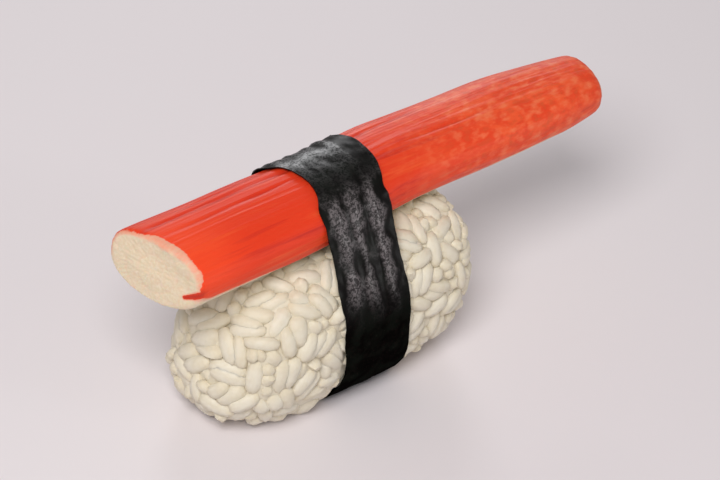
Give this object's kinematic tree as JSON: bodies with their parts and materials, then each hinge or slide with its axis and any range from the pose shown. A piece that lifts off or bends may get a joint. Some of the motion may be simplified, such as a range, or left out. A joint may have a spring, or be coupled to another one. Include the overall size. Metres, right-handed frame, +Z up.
{
  "type": "crab nigiri",
  "caption": "Nigiri sushi: a long stick of surimi crab lies on a pressed block of rice, and a strip of nori binds the two.",
  "frame": {"origin": "middle of the whole piece's footprint, on the surface that the rice stands on", "axes": "+X along the crab stick, from its cut end to its far end; +Z up; +Y across, away from the side that the picture shows"},
  "size_m": [0.103, 0.0306, 0.0415],
  "materials": {
    "rice": "cooked white rice, moist and slightly translucent, a little glossy on each grain",
    "crab_stick": "moist surimi with a red outer colour in fine strands along the stick, and white inside and underneath",
    "nori": "near-black green seaweed sheet, creased, with a soft gloss where it is damp"
  },
  "bodies": {
    "root": {"rice": "rice", "crab_stick": "crab_stick", "nori": "nori"}
  },
  "joints": []
}
